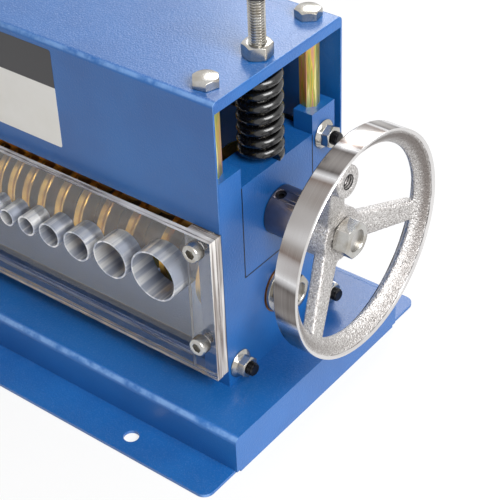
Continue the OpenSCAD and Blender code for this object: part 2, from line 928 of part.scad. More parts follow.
// one dished spoke pointing along +Z before it is turned into place
module spoke() {
    r_in = hub_d / 5;
    r_out = wheel_d / 2 - rim_t * 0.75;
    x_hub = hub_end - hub_x;
    x_root = x_hub - spoke_t * 1.45;
    x_rim = rim_x - hub_x + rim_w * 0.55;
    intersection() {
        rotate([90, 0, 0])
            linear_extrude(height = wheel_d, center = true)
                polygon([[x_root, r_in], [x_hub, r_in], [x_hub, hub_d / 2], [x_rim, r_out],
                    [x_rim - spoke_t, r_out], [x_root, hub_d / 2]]);
        rotate([90, 0, 90])
            linear_extrude(height = wheel_d, center = true)
                polygon([[-spoke_hub_w / 2, r_in], [spoke_hub_w / 2, r_in], [spoke_rim_w / 2, r_out],
                    [-spoke_rim_w / 2, r_out]]);
    }
}

// rim ring turned about Z and standing on z = 0: flat outside, falling to a round ridge inside
module rim() {
    ro = wheel_d / 2;
    c = rim_round;
    t = rim_t;
    w = rim_w;
    rotate_extrude($fn = 128)
        polygon([[ro - t * 0.16, 0], [ro - c * 0.4, 0], [ro, c], [ro, w - c], [ro - c * 0.4, w],
            [ro - t * 0.2, w * 0.92], [ro - t * 0.43, w * 0.81], [ro - t * 0.67, w * 0.7],
            [ro - t * 0.87, w * 0.6], [ro - t, w * 0.47], [ro - t * 0.92, w * 0.34],
            [ro - t * 0.7, w * 0.24], [ro - t * 0.43, w * 0.13]]);
}

// places the children at the handle boss, measured from the hub face toward the rim
module at_boss() {
    rotate([spoke_turn + 120 - boss_turn - 90, 0, 0])
        translate([0, 0, boss_r])
            rotate([0, 90, 0])
                children();
}

// rim ring in its place around the hub axis, measured from the hub face
module rim_at_hub() {
    translate([rim_x - hub_x, 0, 0])
        rotate([0, 90, 0])
            rim();
}

// round hub along the shaft, longer at both ends by the margin
module hub_block(margin) {
    translate([-margin, 0, 0])
        rotate([0, 90, 0])
            cylinder(d = hub_d, h = hub_length + 2 * margin);
}

module wheel_hub() {
    color("lightgray")
        translate([hub_x, shaft_y, upper_z])
            difference() {
                hub_block(0);
                translate([-1, 0, 0])
                    rotate([0, 90, 0])
                        cylinder(d = shaft_end_d, h = hub_length + 2);
            }
}

module wheel_spokes() {
    boss_face = rim_x + boss_top - hub_x;
    color("lightgray")
        translate([hub_x, shaft_y, upper_z])
            difference() {
                union() {
                    for (k = [0 : 2])
                        rotate([spoke_turn + 120 * k - 90, 0, 0])
                            spoke();
                    at_boss()
                        translate([0, 0, boss_face - boss_hole_depth - 4])
                            cylinder(d = boss_d, h = boss_hole_depth + 4);
                }
                rim_at_hub();
                hub_block(1);
                at_boss()
                    translate([0, 0, boss_face - boss_hole_depth])
                        cylinder(d = boss_hole_d, h = boss_hole_depth + 1);
            }
}

module wheel_rim() {
    color("silver")
        translate([hub_x, shaft_y, upper_z])
            rim_at_hub();
}

// hexagon nut on a shaft end, standing from x toward the wheel side
module shaft_nut(x, z, turn) {
    difference() {
        translate([x, shaft_y, z])
            rotate([turn, 0, 0])
                rotate([0, 90, 0])
                    cylinder(d = across(end_nut_flats), h = end_nut_h, $fn = 6);
        bar_x(x - 1, x + end_nut_h + 1, shaft_y, z, shaft_end_d);
    }
}

module wheel_nut() {
    color("silver")
        shaft_nut(hub_end, upper_z, 10);
}

module lower_shaft() {
    color("gray") {
        bar_x(lower_left, body_right + side_gap, shaft_y, lower_z, shaft_d);
        bar_x(body_right - plate_t, body_right + side_gap + end_washer_t + end_nut_h - end_nut_recess,
            shaft_y, lower_z, shaft_end_d);
    }
}

module feed_rollers() {
    w = roller_w / 2;
    color("goldenrod")
        for (i = [0 : channels - 1])
            translate([channel_x(i), shaft_y, lower_z])
                rotate([0, 90, 0])
                    rotate_extrude($fn = 96)
                        polygon([[shaft_d / 2, -w], [roller_r - 0.8, -w], [roller_r, -w + 0.8],
                            [roller_r - roller_groove, 0], [roller_r, w - 0.8], [roller_r - 0.8, w],
                            [shaft_d / 2, w]]);
}

module roller_sleeves() {
    inner = plate_t + lower_bush_collar_t + side_gap;
    color("dimgray")
        sleeves(lower_z, roller_w, body_left + inner, body_right - inner);
}

module end_washer() {
    x = body_right + side_gap;
    color("silver")
        difference() {
            bar_x(x, x + end_washer_t, shaft_y, lower_z, end_washer_d);
            bar_x(x - 1, x + end_washer_t + 1, shaft_y, lower_z, shaft_end_d);
        }
}

module end_nut() {
    color("silver")
        shaft_nut(body_right + side_gap + end_washer_t, lower_z, 0);
}

module shaft_coupling() {
    color("gray")
        difference() {
            bar_x(coupling_x, coupling_x + coupling_length, shaft_y, lower_z, coupling_d);
            bar_x(lower_left, coupling_x + coupling_length + 1, shaft_y, lower_z, shaft_d);
        }
}

// outline of the gear cover as two round ends joined by a box, grown by g
module gear_cover_shape(x0, x1, g) {
    r = gear_tip_r + gear_cover_gap + g;
    top = upper_z + gear_cover_rise;
    bar_x(x0, x1, shaft_y, lower_z, 2 * r);
    bar_x(x0, x1, shaft_y, top, 2 * r);
    box([x0, shaft_y - r, lower_z], [x1, shaft_y + r, top]);
}

// places of the gear cover screws on the left plate
ear_out = gear_tip_r + gear_cover_gap + ear_reach;
ear_spots = [for (s = [-1, 1]) [shaft_y + s * ear_out, lower_z + ear_rise]];

module gear_cover() {
    s = gear_cover_sheet;
    color("royalblue")
        difference() {
            union() {
                intersection() {
                    gear_cover_shape(cover_x - s, body_left, s);
                    box([cover_x - s, -base_depth, base_height], [body_left, base_depth, cover_top]);
                }
                for (p = ear_spots)
                    bar_x(body_left - ear_t, body_left, p[0], p[1], ear_d);
            }
            gear_cover_shape(cover_x, body_left + 1, 0);
            bar_x(cover_x - s - 1, cover_x + 1, shaft_y, lower_z, coupling_d + 2 * coupling_gap);
            for (p = ear_spots)
                bar_x(body_left - ear_t - 1, body_left + 1, p[0], p[1], ear_screw_d);
        }
}

module gear_cover_screws() {
    color("silver")
        for (p = ear_spots)
            difference() {
                union() {
                    bar_x(body_left - ear_t - ear_head_h, body_left - ear_t, p[0], p[1], ear_head_d);
                    bar_x(body_left - ear_t - 1, body_left, p[0], p[1], ear_screw_d);
                }
                bar_x(body_left - ear_t - ear_head_h - 1, body_left - ear_t - ear_head_h / 2, p[0], p[1],
                    ear_screw_d * 0.92, 6);
            }
}

module gearbox() {
    h = gearbox_side / 2;
    color("silver") {
        box([gearbox_left, shaft_y - h, foot_top], [gearbox_right, shaft_y + h, lower_z + h]);
        bar_x(gearbox_left, gearbox_right + pilot_length, shaft_y, lower_z, pilot_d);
    }
}

module gearbox_foot() {
    w = foot_width / 2;
    color("dimgray")
        difference() {
            box([gearbox_left, shaft_y - w, base_height], [gearbox_right, shaft_y + w, foot_top]);
            at_foot_bolts()
                bar_z(0, 0, base_height - 1, foot_top + 1, foot_bolt_d);
        }
}

// places the children at the four foot bolts
module at_foot_bolts() {
    for (x = [gearbox_left + foot_bolt_end, gearbox_right - foot_bolt_end])
        for (side = [-1, 1])
            translate([x, shaft_y + side * (foot_width / 2 - foot_bolt_edge), 0])
                children();
}

module foot_bolts() {
    color("silver")
        at_foot_bolts() {
            bar_z(0, 0, foot_top, foot_top + foot_bolt_head, across(foot_bolt_flats), 6);
            bar_z(0, 0, base_height, foot_top + 1, foot_bolt_d);
        }
}

module motor_body() {
    step = motor_length / (2 * fins + 1);
    color("dimgray")
        difference() {
            bar_x(motor_left, gearbox_left, shaft_y, lower_z, motor_d);
            for (i = [0 : fins - 1])
                difference() {
                    x = motor_left + step * (2 * i + 1);
                    bar_x(x, x + step, shaft_y, lower_z, motor_d + 4);
                    bar_x(motor_left, gearbox_left, shaft_y, lower_z, motor_d - 2 * fin_depth);
                }
        }
}

module fan_cover() {
    fan_r = motor_d / 2 - fin_depth + 2;
    color("black")
        difference() {
            bar_x(motor_left - fan_length, motor_left, shaft_y, lower_z, 2 * fan_r);
            for (k = [0 : 11])
                translate([motor_left - fan_length - 1, shaft_y, lower_z])
                    rotate([30 * k, 0, 0])
                        translate([0, 0, fan_r * (k % 2 == 0 ? 0.36 : 0.66)])
                            rotate([0, 90, 0])
                                cylinder(d = fan_hole_d, h = fan_length / 4 + 1);
        }
}

module switch_box() {
    l = rocker_length / 2;
    w = rocker_width / 2;
    color("dimgray")
        difference() {
            box([box_x, box_front, base_height], [box_x + box_length, box_front + box_depth, box_top]);
            box([rocker_x - l, box_mid_y - w, box_top - pocket_depth],
                [rocker_x + l, box_mid_y + w, box_top + 1]);
            bar_z(button_x, box_mid_y, box_top - pocket_depth, box_top + 1, button_stem_d);
        }
}

// rocker on a cross pin, resting tilted toward one side
module rocker() {
    l = rocker_length / 2 - 2 * rocker_gap;
    w = rocker_width / 2 - rocker_gap;
    color("firebrick")
        translate([rocker_x, box_mid_y, box_top - rocker_sink])
            rotate([0, rocker_tilt, 0])
                difference() {
                    rotate([90, 0, 0])
                        cylinder(r = l - rocker_gap, h = 2 * w, center = true);
                    box([-l, -w - 1, rocker_rise], [l, w + 1, l]);
                    box([-l, -w - 1, -l], [l, w + 1, -rocker_rise]);
                }
}

module stop_button() {
    low = box_top + button_travel + 1;
    color("red") {
        bar_z(button_x, box_mid_y, low, low + button_t, button_d);
        bar_z(button_x, box_mid_y, box_top - pocket_depth + button_travel + 1, low + 1,
            button_stem_d - 2 * running_gap);
    }
}

module cable_gland() {
    z = base_height + gland_rise;
    length = gland_nut_t + gland_nose;
    color("black")
        difference() {
            union() {
                bar_x(box_x - gland_nut_t, box_x, box_mid_y, z, across(gland_d), 6);
                bar_x(box_x - length, box_x, box_mid_y, z, gland_d - 2);
            }
            bar_x(box_x - length - 1, box_x - 1, box_mid_y, z, gland_bore_d);
        }
}

base();
right_side_plate();
left_side_plate();
top_plate();
top_cover();
hex_columns();
top_bolts();
lower_bushes();
tie_rods();
flange_nuts();
clear_guard();
guard_strips();
guard_screws();
feed_tube(0);  // feed_tube_1
feed_tube(1);  // feed_tube_2
feed_tube(2);  // feed_tube_3
feed_tube(3);  // feed_tube_4
feed_tube(4);  // feed_tube_5
feed_tube(5);  // feed_tube_6
feed_tube(6);  // feed_tube_7
feed_tube(7);  // feed_tube_8
feed_tube(8);  // feed_tube_9
feed_tube(9);  // feed_tube_10
feed_tube(10);  // feed_tube_11
adjusting_nuts();
right_spring();
left_spring();
right_bearing_block();
left_bearing_block();
upper_bushes();
right_adjusting_screw();
left_adjusting_screw();
upper_shaft();
blade_discs();
blade_sleeves();
upper_gear();
shaft_collar();
set_screw();
wheel_hub();
wheel_spokes();
wheel_rim();
wheel_nut();
lower_shaft();
feed_rollers();
roller_sleeves();
lower_gear();
end_washer();
end_nut();
shaft_coupling();
gear_cover();
gear_cover_screws();
gearbox();
gearbox_foot();
foot_bolts();
motor_body();
fan_cover();
switch_box();
rocker();
stop_button();
cable_gland();
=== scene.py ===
"""Looks of the bench cable stripper: finishes for the solids, and turned, threaded, wound and cast pieces.

Metres, in the frame of the solids: +X runs along the shafts to the handwheel, -Y is the feeding side, +Z is up.
"""
import math

import bmesh
import bpy
import numpy as np
from mathutils import Matrix, Vector


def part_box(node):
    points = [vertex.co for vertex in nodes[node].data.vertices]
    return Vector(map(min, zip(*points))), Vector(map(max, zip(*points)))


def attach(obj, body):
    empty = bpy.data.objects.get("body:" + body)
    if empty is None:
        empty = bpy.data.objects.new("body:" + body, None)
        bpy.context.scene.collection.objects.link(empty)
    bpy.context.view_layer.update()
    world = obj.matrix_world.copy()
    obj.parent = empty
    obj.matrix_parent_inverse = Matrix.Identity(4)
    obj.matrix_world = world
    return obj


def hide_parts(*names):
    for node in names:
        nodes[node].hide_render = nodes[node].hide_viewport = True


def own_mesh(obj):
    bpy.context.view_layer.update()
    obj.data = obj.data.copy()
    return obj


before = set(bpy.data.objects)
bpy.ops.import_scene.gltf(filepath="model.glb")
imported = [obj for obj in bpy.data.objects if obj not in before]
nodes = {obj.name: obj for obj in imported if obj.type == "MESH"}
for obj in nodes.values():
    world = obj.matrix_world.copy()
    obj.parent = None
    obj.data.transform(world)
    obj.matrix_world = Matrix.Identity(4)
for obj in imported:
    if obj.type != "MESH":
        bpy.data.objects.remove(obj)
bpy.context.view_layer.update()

X, Y, Z = np.eye(3)
TURN = 2 * np.pi
MM = 0.001

# Shares that every nut and bolt head keeps to
NUT_FACE = 0.475                            # radius of the flat end, of the width over flats
NUT_CONE = math.tan(math.radians(30))       # slope of the cone that cuts the corners
BORE_LEAD = 0.08                            # lead into a threaded hole, of its radius
HEX_COLUMNS = 72


# Surfaces

def ring(columns):
    """Angles of even steps round a full turn."""
    return np.linspace(0, TURN, columns, endpoint=False)


def side_of(axis):
    """A unit vector square to the axis: up where the axis lies flat, else along X."""
    return Z if abs(np.dot(axis, Z)) < 0.5 else X


def round_axis(along, radius, angle, origin, axis):
    """Points at a distance along an axis, at a radius from it and an angle round it."""
    axis = np.asarray(axis, float)
    first = side_of(axis)
    second = np.cross(axis, first)
    along, radius, angle = np.broadcast_arrays(along, radius, angle)
    spread = np.cos(angle)[..., None] * first + np.sin(angle)[..., None] * second
    return np.asarray(origin, float) + along[..., None] * axis + radius[..., None] * spread


def skin(points):
    """Quads over a grid of points: every row joins the next, and the last column joins the first."""
    rows, columns = points.shape[:2]
    index = np.arange(rows * columns).reshape(rows, columns)
    beside = np.roll(index, -1, axis=1)
    quads = np.stack([index[:-1], beside[:-1], beside[1:], index[1:]], axis=-1)
    return points.reshape(-1, 3), quads.reshape(-1, 4)


def rows_round(rows, angle, origin, axis):
    """Shell whose rows each give a distance along the axis and a radius, as numbers or one per angle."""
    along = np.stack([np.broadcast_to(r[0], angle.shape) for r in rows])
    radius = np.stack([np.broadcast_to(r[1], angle.shape) for r in rows])
    return skin(round_axis(along, radius, angle[None, :], origin, axis))


def eased(profile, size, steps=4):
    """Outline with its inner corners cut back by size, or less on a short side, and bridged by a parabola."""
    profile = np.asarray(profile, float)
    before, corner, after = profile[:-2], profile[1:-1], profile[2:]
    back, ahead = before - corner, after - corner
    back_length, ahead_length = np.linalg.norm(back, axis=1), np.linalg.norm(ahead, axis=1)
    reach = np.minimum(size, 0.45 * np.minimum(back_length, ahead_length))
    a = corner + back * (reach / back_length)[:, None]
    b = corner + ahead * (reach / ahead_length)[:, None]
    t = np.linspace(0, 1, steps)[None, :, None]
    arcs = (1 - t) ** 2 * a[:, None] + 2 * t * (1 - t) * corner[:, None] + t ** 2 * b[:, None]
    return np.concatenate([profile[:1], arcs.reshape(-1, 2), profile[-1:]])


def turned(profile, origin, axis, columns=96):
    """The outline's points, each a distance along the axis and a radius, carried round the axis."""
    return rows_round(np.asarray(profile, float), ring(columns), origin, axis)


def hex_radius(angle, flats):
    """Distance from the middle of a hexagon to its outline; a flat's middle lies at angle zero."""
    return flats / 2 / np.cos((angle + np.pi / 6) % (np.pi / 3) - np.pi / 6)


def hex_cut(flats, turn):
    """Angles round a hexagon, its outline at each, its flat end's radius, and the cone's drop to the outline."""
    angle = ring(HEX_COLUMNS)
    outline = hex_radius(angle - turn, flats)
    face = NUT_FACE * flats
    return angle, outline, face, (outline - face) * NUT_CONE


def hex_nut(flats, height, bore, origin, axis, turn=0.0):
    """A bored hexagon whose two ends are cut by cones, each leaving the side where cone and hexagon meet."""
    angle, outline, face, drop = hex_cut(flats, turn)
    lead = BORE_LEAD * bore
    rows = [(lead, bore), (0, bore + lead), (0, face), (drop, outline), (height - drop, outline),
            (height, face), (height, bore + lead), (height - lead, bore), (lead, bore)]
    return rows_round(rows, angle, origin, axis)


def hex_head(flats, height, shank, reach, origin, axis, turn=0.0):
    """A bolt: plain shank below, washer face, hexagon side, and a flat top cut by a cone."""
    angle, outline, face, drop = hex_cut(flats, turn)
    lip = 0.05 * height
    rows = [(-reach, 0), (-reach, shank), (0, shank), (0, face), (lip, face), (lip, outline),
            (height - drop, outline), (height, face), (height, 0)]
    return rows_round(rows, angle, origin, axis)


def flange_nut(flange, flats, height, bore, origin, axis, turn=0.0):
    """A nut with a flared foot: a round edge, a cone that rises into the hexagon, and a cone-cut top."""
    angle, outline, face, drop = hex_cut(flats, turn)
    edge = flange / 2
    lead = BORE_LEAD * bore
    foot = 0.1 * height
    rows = [(lead, bore), (0, bore + lead), (0, 0.97 * edge), (0.3 * foot, edge), (foot, edge),
            (1.4 * foot, 0.97 * edge), (3.3 * foot, np.maximum(outline * 1.02, 0.78 * edge)),
            (3.6 * foot, outline), (height - drop, outline), (height, face), (height, bore + lead),
            (height - lead, bore), (lead, bore)]
    return rows_round(rows, angle, origin, axis)


def socket_head(head, height, shank, reach, key, origin, axis, columns=96, ribs=32):
    """A cap screw: knurled round head with an eased top, a hexagon socket, and a plain shank below it."""
    angle = ring(columns)
    r = head / 2
    knurl = r - 0.012 * head * (1 + np.cos(ribs * angle))
    well = hex_radius(angle, key)
    depth = 0.5 * height
    rows = [(-reach, 0), (-reach, shank), (0, shank), (0, 0.93 * r), (0.06 * height, knurl),
            (0.82 * height, knurl), (0.86 * height, 0.97 * r), (0.94 * height, 0.94 * r), (height, 0.86 * r),
            (height, 1.06 * well), (0.94 * height, well), (height - depth, well), (height - 1.2 * depth, 0)]
    return rows_round(rows, angle, origin, axis)


def thread(radius, pitch, low, high, columns=40, steps=8):
    """Rows of a screw thread and their angles.

    The radius follows a triangle wave with flat crests and roots along a helix, and runs out at both ends.
    """
    steep, crest, depth = 2.3, 0.45, 0.56 * pitch
    count = int(round((high - low) / pitch * steps)) + 1
    along = np.linspace(low, high, count)[:, None]
    angle = ring(columns)
    phase = (along / pitch - angle / TURN) % 1.0
    wave = np.clip(steep * np.abs(2 * phase - 1) - crest, 0, 1)
    tip = np.minimum(along - low, high - along) + radius - depth
    return list(zip(along[:, 0], np.minimum(radius - depth * wave, tip))), angle


def coil(middle, radius, wire, low, high, curls, dead=0.8, steps=48, sides=20):
    """Round wire along a helix, ground flat at both ends.

    The closed curls at both ends rise one wire each, those between rise evenly more.
    """
    fade, closeness, ground = 0.5, 0.98, 0.3 * wire
    t = np.linspace(0, curls, int(curls * steps) + 1)
    live = np.clip((t - dead) / fade, 0, 1) * np.clip((curls - dead - t) / fade, 0, 1)
    extra = np.concatenate([[0], np.cumsum((live[1:] + live[:-1]) / 2)])
    closed = closeness * wire * t
    z = low + ground + closed + extra / extra[-1] * (high - low - 2 * ground - closed[-1])
    out = np.stack([np.cos(TURN * t), np.sin(TURN * t), 0 * t], axis=1)
    centre = np.asarray(middle) + radius * out + z[:, None] * Z
    tangent = np.gradient(centre, axis=0)
    tangent /= np.linalg.norm(tangent, axis=1)[:, None]
    lift = np.cross(tangent, out)
    round_wire = ring(sides)[None, :, None]
    spread = np.cos(round_wire) * out[:, None] + np.sin(round_wire) * lift[:, None]
    ends = [np.repeat(point[None, None], sides, 1) for point in (centre[0], centre[-1])]
    tube = np.concatenate([ends[0], centre[:, None] + wire / 2 * spread, ends[1]])
    tube[..., 2] = np.clip(tube[..., 2], low, high)
    return skin(tube)


def loft(rows):
    """Closed shell over rows of points, both ends drawn together to their middles."""
    rows = np.asarray(rows, float)
    ends = [np.broadcast_to(row.mean(0), row.shape)[None] for row in (rows[0], rows[-1])]
    return skin(np.concatenate([ends[0], rows, ends[1]]))


def bar(low, high):
    """Plain box between two corners, as a square lofted along X."""
    (x0, y0, z0), (x1, y1, z1) = low, high
    square = np.array([(0, y0, z0), (0, y1, z0), (0, y1, z1), (0, y0, z1)])
    return loft([square + x * X for x in (x0, x1)])


def joined(shells):
    """One array of points and one of quads from several shells."""
    starts = np.cumsum([0] + [len(points) for points, _ in shells[:-1]])
    return (np.concatenate([points for points, _ in shells]),
            np.concatenate([quads + start for (_, quads), start in zip(shells, starts)]))


def bevel_folds(made, width, segments, angle):
    """Rounds every fold of an object that is sharper than an angle in degrees."""
    cut = made.modifiers.new("eased edges", "BEVEL")
    cut.width, cut.segments, cut.limit_method = width, segments, "ANGLE"
    cut.angle_limit = math.radians(angle)
    cut.harden_normals = True


def piece(name, shells, finish, body, stands_for=(), crease=38, bevel=0.0):
    """Object at the origin from shells: doubles merged, smooth but for creases, riding on a body."""
    merge_distance, sliver = 2e-6, 1e-7
    points, quads = joined(shells)
    mesh = bpy.data.meshes.new(name)
    mesh.from_pydata(points.tolist(), [], quads.tolist())
    work = bmesh.new()
    work.from_mesh(mesh)
    bmesh.ops.remove_doubles(work, verts=work.verts, dist=merge_distance)
    bmesh.ops.dissolve_degenerate(work, edges=work.edges, dist=sliver)
    bmesh.ops.recalc_face_normals(work, faces=work.faces)
    for edge in work.edges:
        edge.smooth = edge.is_manifold and edge.calc_face_angle(0) < math.radians(crease)
    for face in work.faces:
        face.smooth = True
    work.to_mesh(mesh)
    work.free()
    made = bpy.data.objects.new(name, mesh)
    bpy.context.scene.collection.objects.link(made)
    mesh.materials.append(finish.material)
    if bevel:
        bevel_folds(made, bevel, segments=2, angle=crease)
    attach(made, body)
    if stands_for:
        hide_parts(*stands_for)
    return made


# Finishes

def tone(red, green, blue):
    """Linear colour from the usual 0 to 255 numbers."""
    c = np.array([red, green, blue]) / 255
    linear = np.where(c <= 0.04045, c / 12.92, ((c + 0.055) / 1.055) ** 2.4)
    return (*linear.tolist(), 1.0)


class Value:
    """A socket that takes part in sums: every operator adds a Math node."""

    def __init__(self, shading, socket):
        self.shading, self.socket = shading, socket

    def math(self, operation, *values):
        return self.shading.node("Math", {"operation": operation}, dict(enumerate(values)))

    def __add__(self, other):
        return self.math("ADD", self, other)

    def __sub__(self, other):
        return self.math("SUBTRACT", self, other)

    def __rsub__(self, other):
        return self.math("SUBTRACT", other, self)

    def __mul__(self, other):
        return self.math("MULTIPLY", self, other)

    __radd__, __rmul__ = __add__, __mul__

    def __truediv__(self, other):
        return self.math("DIVIDE", self, other)

    def __pow__(self, other):
        return self.math("POWER", self, other)

    def __abs__(self):
        return self.math("ABSOLUTE", self)

    def at_most(self, other):
        return self.math("MINIMUM", self, other)

    def step(self, low, high):
        """Smooth step from 0 at low to 1 at high."""
        return self.shading.node("MapRange", {"interpolation_type": "SMOOTHSTEP"}, {0: self, 1: low, 2: high})


class Shading:
    """A tree of nodes, with one way to add any node."""

    def __init__(self, tree):
        self.tree = tree

    def node(self, kind, settings=(), inputs=(), output=0):
        """A node of a kind: settings first, then the values or links of its sockets."""
        made = self.tree.nodes.new("ShaderNode" + kind)
        for key, value in dict(settings).items():
            if key == "stops":
                ramp = made.color_ramp
                while len(ramp.elements) < len(value):
                    ramp.elements.new(1.0)
                for element, (position, colour) in zip(ramp.elements, value):
                    element.position, element.color = position, colour
            else:
                setattr(made, key, value)
        for key, value in dict(inputs).items():
            if isinstance(value, Value):
                self.tree.links.new(value.socket, made.inputs[key])
            else:
                made.inputs[key].default_value = value
        return Value(self, made.outputs[output])

    def parts(self, vector):
        """The three numbers of a vector."""
        return [Value(self, out) for out in self.node("SeparateXYZ", {}, {0: vector}).socket.node.outputs]

    def seen(self):
        """1 for rays from the camera, from a mirror or through glass, and 0 for those that only bring light."""
        rays = self.node("LightPath").socket.node.outputs
        kinds = ("Camera", "Glossy", "Transmission")
        camera_ray, mirror_ray, glass_ray = (Value(self, rays["Is %s Ray" % kind]) for kind in kinds)
        return (camera_ray + mirror_ray + glass_ray).at_most(1.0)


class Finish(Shading):
    """One material: a principled shader with fixed sockets, fed by nodes that read object coordinates."""

    def __init__(self, name, fixed=()):
        self.material = bpy.data.materials.new(name)
        self.material.use_nodes = True
        super().__init__(self.material.node_tree)
        self.shader = self.tree.nodes["Principled BSDF"]
        for key, value in dict(fixed).items():
            self.shader.inputs[key].default_value = value
        self.place = self.node("TexCoord", output="Object")

    def stretched(self, scale):
        """Object coordinates with each axis scaled."""
        return self.node("Mapping", {}, {"Vector": self.place, "Scale": scale})

    def noise(self, scale, detail=2.0, rough=0.5, place=None):
        return self.node("TexNoise", {}, {"Vector": place or self.place, "Scale": scale, "Detail": detail,
                                          "Roughness": rough})

    def streaks(self, scale, detail=2.0, rough=0.5):
        """Noise drawn out by a scale of its own for each axis."""
        return self.noise(1, detail, rough, self.stretched(scale))

    def ramp(self, value, stops):
        return self.node("ValToRGB", {"stops": stops}, {0: value})

    def mix(self, share, first, second):
        return self.node("Mix", {"data_type": "RGBA"}, {0: share, 6: first, 7: second}, output=2)

    def facing(self):
        """The three numbers of the true normal."""
        return self.parts(self.node("NewGeometry", output="True Normal"))

    def lathe(self, y, z):
        """Place against a line along X through y, z.

        Gives the offsets from it along Y and Z, the distance along it and from it, and these two as a vector.
        """
        along, across, up = self.parts(self.place)
        across, up = across - y, up - z
        radius = (across ** 2 + up ** 2) ** 0.5
        return across, up, along, radius, self.node("CombineXYZ", {}, {0: along, 1: radius, 2: 0.0})

    def feed(self, **sockets):
        for key, value in sockets.items():
            self.tree.links.new(value.socket, self.shader.inputs[key.replace("_", " ").title()])
        return self

    def bump(self, height, strength, distance):
        normal = self.node("Bump", {}, {"Height": height, "Strength": strength, "Distance": distance})
        return self.feed(Normal=normal)

    def overlaid(self, share, other):
        """Shows another shader in place of the principled one, by a share."""
        both = self.node("MixShader", {}, {0: share, 1: Value(self, self.shader.outputs[0]), 2: other})
        self.tree.links.new(both.socket, self.tree.nodes["Material Output"].inputs[0])
        return self


def blue_coat(name, fold_highlight, painted_glint):
    """Gloss powder coat: fine peel, cloudy depth, painted glints as pale grains on faces that look up, and a
    painted highlight along the rounded folds.
    """
    f = Finish(name, {"Coat Weight": 0.3, "Coat Roughness": 0.2, "IOR": 1.5})
    peel = f.noise(620, 2)
    grain = f.noise(1050, 1)
    cloud = f.noise(9, 3, 0.6)
    nx, ny, nz = (part ** 2 for part in f.facing())
    # painted highlight: the rounded folds made paler, broken up by noise
    fold = (nx * nz + ny * nz + nx * ny).step(0.05, 0.22) * f.noise(60, 3, 0.7).step(0.3, 0.6)
    deep, clear, pale, painted_light = tone(10, 80, 147), tone(16, 93, 163), tone(148, 172, 218), tone(140, 178, 226)
    colour = f.mix(cloud.step(0.3, 0.7), deep, clear)
    # painted glints: pale grains only on faces that look up, toward the light
    colour = f.mix(grain.step(0.50, 0.72) * nz.step(0.5, 0.9) * painted_glint, colour, pale)
    f.feed(Base_Color=f.mix(fold * fold_highlight, colour, painted_light), Roughness=0.30 + peel * 0.12 + grain * 0.10)
    return f.bump(peel * 0.6 + grain * 0.6, 0.6, 0.6 * MM)


def plated(name, bright, warm, rough):
    """Plated steel: a bright metal with a drifting tint, fine dull patches and a faint tumbled texture."""
    f = Finish(name, {"Metallic": 1.0})
    drift = f.noise(70, 3, 0.6)
    fine = f.noise(900, 2)
    f.feed(Base_Color=f.mix(drift.step(0.35, 0.65), bright, warm), Roughness=rough + fine * 0.16)
    return f.bump(fine, 0.08, 0.2 * MM)


def rainbow_zinc():
    """Yellow passivated zinc: gold that shifts to rose and green in long streaks."""
    f = Finish("yellow zinc", {"Metallic": 0.9})
    streak = f.streaks((330, 330, 16), 3, 0.55)
    gold, rose, green, pale = tone(226, 196, 92), tone(214, 150, 132), tone(158, 172, 84), tone(240, 228, 160)
    stops = [(0.32, green), (0.41, pale), (0.47, green), (0.53, gold), (0.60, rose), (0.70, pale)]
    f.feed(Base_Color=f.ramp(streak, stops), Roughness=0.24 + f.noise(700, 2) * 0.16)
    return f.bump(f.streaks((900, 900, 60)), 0.1, 0.3 * MM)


def turned_metal(name, colour, shade, rough, lines, y, z, strength=0.12):
    """Metal off the lathe about an axis along X: fine lines by radius and by length, with a dull drift."""
    f = Finish(name, {"Metallic": 1.0})
    spot = f.lathe(y, z)[-1]
    line = f.noise(lines, 2, 0.6, spot)
    drift = f.noise(45, 3, 0.6)
    f.feed(Base_Color=f.mix(drift.step(0.35, 0.7) * 0.7, colour, shade),
           Roughness=rough + line * 0.16 + drift * 0.1)
    return f.bump(line, strength, 0.2 * MM)


def tube_metal():
    """Machined thin tube: broad soft bands along its length and pale smudges that scatter light."""
    f = Finish("machined tube", {"Metallic": 0.45})
    band = f.streaks((210, 6, 210), 2, 0.45)
    fine = f.streaks((1500, 40, 1500))
    cool, bright, smudge = tone(168, 174, 188), tone(232, 232, 232), tone(176, 176, 180)
    colour = f.mix(band.step(0.38, 0.6), cool, bright)
    f.feed(Base_Color=f.mix(fine.step(0.4, 0.75) * 0.25, colour, smudge), Roughness=0.24 + fine * 0.12)
    return f.bump(fine, 0.05, 0.2 * MM)


def black_lacquer():
    """Gloss black on wire: soft dips in the coat, grey rub marks."""
    f = Finish("spring lacquer", {"Coat Weight": 0.5, "Coat Roughness": 0.08})
    rub = f.noise(330, 3, 0.65)
    colour = f.mix(rub.step(0.55, 0.8) * 0.6, tone(6, 6, 7), tone(30, 28, 26))
    f.feed(Base_Color=colour, Roughness=0.2 + rub * 0.14)
    return f.bump(f.noise(420, 2), 0.10, 0.3 * MM)


def dark_steel(name, dark, light, rough):
    """Black oxide: dark metal with a satin drift and fine scratches round it."""
    f = Finish(name, {"Metallic": 0.85})
    drift = f.noise(160, 3, 0.6)
    lines = f.streaks((5200, 420, 420), 2, 0.6)
    f.feed(Base_Color=f.mix(drift.step(0.35, 0.75), dark, light), Roughness=rough + lines * 0.2)
    return f.bump(lines, 0.10, 0.2 * MM)


